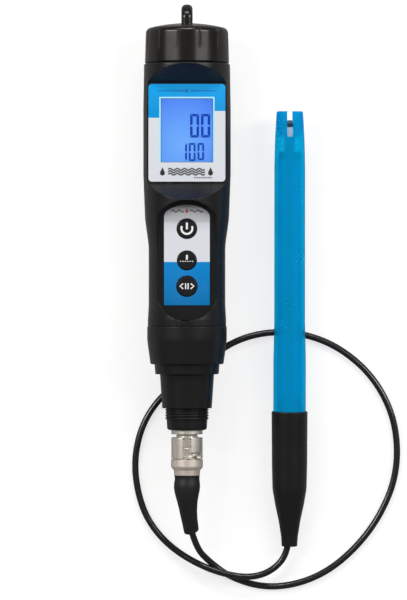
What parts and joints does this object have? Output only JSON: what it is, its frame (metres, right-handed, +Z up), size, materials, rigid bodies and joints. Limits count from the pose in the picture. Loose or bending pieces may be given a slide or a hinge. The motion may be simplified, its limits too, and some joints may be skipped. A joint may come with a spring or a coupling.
{
  "type": "water quality probe",
  "caption": "Battery meter with display and keys, screwed-on connector adapter, bayonet plug, coaxial cable and slotted electrode in a translucent tube, lying on its back.",
  "frame": {"origin": "under the middle of the object without its cable, on the surface that it lies on", "axes": "+Z up, out of the display; +Y towards the battery cap; +X to the right of the display"},
  "size_m": [0.1246, 0.2705, 0.0394],
  "materials": {
    "black_plastic": "satin moulded",
    "label_film": "satin printed film",
    "clear_window": "clear",
    "display_glass": "gloss",
    "backlight": "lit",
    "black_rubber": "matt",
    "button_plastic": "satin",
    "board_laminate": "solder resist",
    "steel": "plated",
    "chip_epoxy": "matt",
    "gold_contact": "plated",
    "white_plastic": "matt",
    "nickel": "nickel plated",
    "blue_tube": "translucent gloss",
    "blue_glass": "gloss",
    "clear_glass": "clear",
    "platinum_band": "bright",
    "blue_seal": "satin",
    "silver_wire": "bright",
    "copper_wire": "bright",
    "cable_jacket": "satin"
  },
  "bodies": {
    "meter": {"housing": "black_plastic", "adapter_body": "black_plastic", "electrode_handle": "black_plastic", "display_label": "label_film", "keypad_label": "label_film", "lcd_window": "clear_window", "lcd_glass": "display_glass", "lcd_backlight": "backlight", "lcd_contact_strips": "black_rubber", "main_board": "board_laminate", "board_pillars": "black_plastic", "board_screws": "steel", "key_switches": "steel", "processor_chip": "chip_epoxy", "sounder": "chip_epoxy", "button_cells": "steel", "cell_contact": "gold_contact", "adapter_seal": "black_rubber", "probe_socket": "white_plastic", "adapter_pins": "gold_contact", "adapter_pin_holder": "white_plastic", "jack_body": "nickel", "jack_washer": "nickel", "jack_nut": "nickel", "jack_insulator": "white_plastic", "jack_contact": "gold_contact", "plug_shell": "nickel", "plug_body": "nickel", "plug_insulator": "white_plastic", "plug_pin": "gold_contact", "crimp_ferrule": "nickel", "plug_boot": "black_rubber", "electrode_tube": "blue_tube", "glass_stem": "blue_glass", "glass_bulb": "clear_glass", "sensing_band": "platinum_band", "stem_ring": "white_plastic", "tip_seal": "blue_seal", "reference_plug": "blue_seal", "reference_wire": "silver_wire", "core_wire": "copper_wire", "cable": "cable_jacket"},
    "power_key": {"power_button": "button_plastic"},
    "light_key": {"light_button": "button_plastic"},
    "set_key": {"set_button": "button_plastic"},
    "cap_rise": {"cap_seal": "black_rubber"},
    "cap": {"battery_cap": "black_plastic", "cap_contact": "gold_contact"},
    "nut_drop": {"collar_slip_ring": "white_plastic"},
    "nut": {"collar_nut": "black_plastic"},
    "sleeve_shift": {"wave_washer": "steel"},
    "sleeve": {"coupling_sleeve": "nickel"}
  },
  "joints": [
    {"name": "power_press", "type": "slide", "parent": "meter", "child": "power_key", "axis": [0, 0, -1], "range_m": [0, 0.0006], "stiffness_N_per_m": 1500},
    {"name": "light_press", "type": "slide", "parent": "meter", "child": "light_key", "axis": [0, 0, -1], "range_m": [0, 0.0006], "stiffness_N_per_m": 1500},
    {"name": "set_press", "type": "slide", "parent": "meter", "child": "set_key", "axis": [0, 0, -1], "range_m": [0, 0.0006], "stiffness_N_per_m": 1500},
    {"name": "cap_lift", "type": "slide", "parent": "meter", "child": "cap_rise", "axis": [0, 1, 0], "range_m": [0, 0.0075]},
    {"name": "cap_turn", "type": "hinge", "parent": "cap_rise", "child": "cap", "pos_m": [-0.01785, 0, 0.0196], "axis": [0, 1, 0], "range_deg": [0, 901]},
    {"name": "nut_slide", "type": "slide", "parent": "meter", "child": "nut_drop", "axis": [0, -1, 0], "range_m": [0, 0.00225]},
    {"name": "nut_turn", "type": "hinge", "parent": "nut_drop", "child": "nut", "pos_m": [-0.01785, 0, 0.0196], "axis": [0, -1, 0], "range_deg": [0, 541]},
    {"name": "sleeve_push", "type": "slide", "parent": "meter", "child": "sleeve_shift", "axis": [0, 1, 0], "range_m": [0, 0.00049]},
    {"name": "sleeve_turn", "type": "hinge", "parent": "sleeve_shift", "child": "sleeve", "pos_m": [-0.01785, 0, 0.0196], "axis": [0, 1, 0], "range_deg": [0, 47]}
  ],
  "couplings": [
    {"joint": "cap_turn", "follows": "cap_lift", "rad_per_m": 2094.4},
    {"joint": "nut_turn", "follows": "nut_slide", "rad_per_m": 4188.8},
    {"joint": "sleeve_turn", "follows": "sleeve_push", "rad_per_m": 1666.7}
  ]
}
